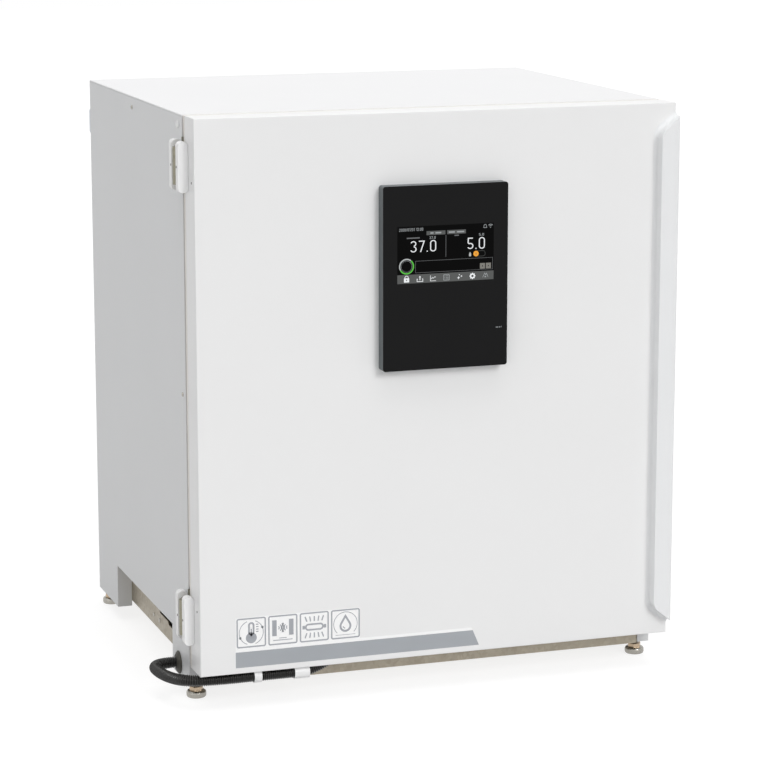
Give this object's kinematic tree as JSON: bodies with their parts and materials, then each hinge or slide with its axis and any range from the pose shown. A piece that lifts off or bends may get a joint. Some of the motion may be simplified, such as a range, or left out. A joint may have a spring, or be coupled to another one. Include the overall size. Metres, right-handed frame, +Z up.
{
  "type": "carbon dioxide incubator",
  "caption": "Box-shaped incubator on levelling feet with an insulated outer door carrying a touch display and long grip, an inner glass door, steel chamber, shelves and a circulation fan.",
  "frame": {"origin": "on the floor, under the middle of the part's whole footprint", "axes": "+X to the grip side of the door, +Y from the door to the back, +Z up"},
  "size_m": [0.826, 0.7172, 0.905],
  "materials": {
    "door_paint": "smooth off-white powder coat",
    "side_paint": "smooth off-white powder coat",
    "unpainted_steel": "galvanised sheet, dull",
    "stainless": "brushed stainless steel",
    "bright_steel": "bright zinc plated",
    "foam": "rigid foam",
    "white_plastic": "fine satin",
    "black_plastic": "satin",
    "panel_black": "gloss black",
    "panel_frame": "satin grey",
    "black_rubber": "matt",
    "grey_rubber": "matt grey silicone",
    "clear_glass": "clear tempered glass",
    "board_green": "circuit board",
    "brass": "machined"
  },
  "bodies": {
    "cabinet": {"side_panel_left": "side_paint", "side_panel_right": "side_paint", "top_panel": "side_paint", "back_panel": "side_paint", "front_frame": "stainless", "insulation": "foam", "inner_chamber": "stainless", "rear_bulkhead": "unpainted_steel", "base_frame": "unpainted_steel", "hinge_leaves_cabinet": "bright_steel", "hinge_pins": "bright_steel", "hinge_covers_cabinet": "white_plastic", "conduit_loop": "black_plastic", "cable_grommet": "black_rubber", "inner_door_gasket": "grey_rubber", "inner_hinge_brackets": "stainless", "fan_bush": "stainless", "fan_motor": "black_plastic", "duct_panel": "stainless", "uv_lamp": "white_plastic", "chamber_sensors": "stainless", "shelf_racks": "stainless", "water_pan": "stainless", "shelf_1": "stainless", "shelf_2": "stainless", "shelf_3": "stainless", "shelf_4": "stainless", "access_tube": "white_plastic", "gas_inlet": "brass", "gas_valve": "brass", "gas_hose": "black_rubber", "circuit_board": "board_green", "mains_inlet": "black_plastic", "rear_spacers": "white_plastic", "cabinet_screws": "bright_steel", "hole_plug": "white_plastic"},
    "outer_door": {"hinge_leaves_door": "bright_steel", "hinge_covers_door": "white_plastic", "door_skin": "door_paint", "door_frame": "white_plastic", "door_liner": "white_plastic", "door_insulation": "foam", "door_gasket": "grey_rubber", "door_grip": "white_plastic", "panel_housing": "panel_frame", "panel_glass": "panel_black", "display_module": "black_plastic", "conduit_door_run": "black_plastic", "conduit_clips": "white_plastic"},
    "inner_door": {"inner_door_frame": "stainless", "inner_glass": "clear_glass"},
    "latch": {"latch_knob": "black_plastic"},
    "usb_flap": {"usb_cover": "white_plastic"},
    "rocker": {"power_rocker": "black_plastic"},
    "fan": {"fan_impeller": "stainless"},
    "port_plug": {"access_plug": "grey_rubber"},
    "foot_fl": {"foot_front_left": "bright_steel"},
    "foot_fr": {"foot_front_right": "bright_steel"},
    "foot_rl": {"foot_rear_left": "bright_steel"},
    "foot_rr": {"foot_rear_right": "bright_steel"}
  },
  "joints": [
    {"name": "outer_door_hinge", "type": "hinge", "parent": "cabinet", "child": "outer_door", "pos_m": [-0.366, -0.27545, 0.48], "axis": [0, 0, -1], "range_deg": [0, 120], "deforming": ["conduit_loop"]},
    {"name": "inner_door_hinge", "type": "hinge", "parent": "cabinet", "child": "inner_door", "pos_m": [-0.3095, -0.27445, 0.5], "axis": [0, 0, -1], "range_deg": [0, 108]},
    {"name": "latch_turn", "type": "hinge", "parent": "inner_door", "child": "latch", "pos_m": [0.3515, -0.27045, 0.4995], "axis": [0, 1, 0], "range_deg": [0, 90]},
    {"name": "usb_cover_hinge", "type": "hinge", "parent": "outer_door", "child": "usb_flap", "pos_m": [0.129, -0.34145, 0.57], "axis": [0, 0, 1], "range_deg": [0, 100]},
    {"name": "power_switch", "type": "hinge", "parent": "cabinet", "child": "rocker", "pos_m": [0.3445, 0.33855, 0.15], "axis": [1, 0, 0], "range_deg": [-14, 0]},
    {"name": "fan_spin", "type": "hinge", "parent": "cabinet", "child": "fan", "pos_m": [0.0275, 0.25755, 0.76], "axis": [0, 1, 0], "continuous": true},
    {"name": "port_plug_slide", "type": "slide", "parent": "cabinet", "child": "port_plug", "axis": [0, 1, 0], "range_m": [0, 0.04]},
    {"name": "foot_fl_turn", "type": "hinge", "parent": "cabinet", "child": "foot_fl", "pos_m": [-0.3415, -0.24995, 0.01], "axis": [0, 0, 1], "range_deg": [-360, 360]},
    {"name": "foot_fr_turn", "type": "hinge", "parent": "cabinet", "child": "foot_fr", "pos_m": [0.3965, -0.24995, 0.01], "axis": [0, 0, 1], "range_deg": [-360, 360]},
    {"name": "foot_rl_turn", "type": "hinge", "parent": "cabinet", "child": "foot_rl", "pos_m": [-0.3415, 0.31655, 0.01], "axis": [0, 0, 1], "range_deg": [-360, 360]},
    {"name": "foot_rr_turn", "type": "hinge", "parent": "cabinet", "child": "foot_rr", "pos_m": [0.3965, 0.31655, 0.01], "axis": [0, 0, 1], "range_deg": [-360, 360]}
  ],
  "couplings": [
    {"joint": "inner_door_hinge", "follows": "outer_door_hinge", "ratio": 0.9}
  ]
}
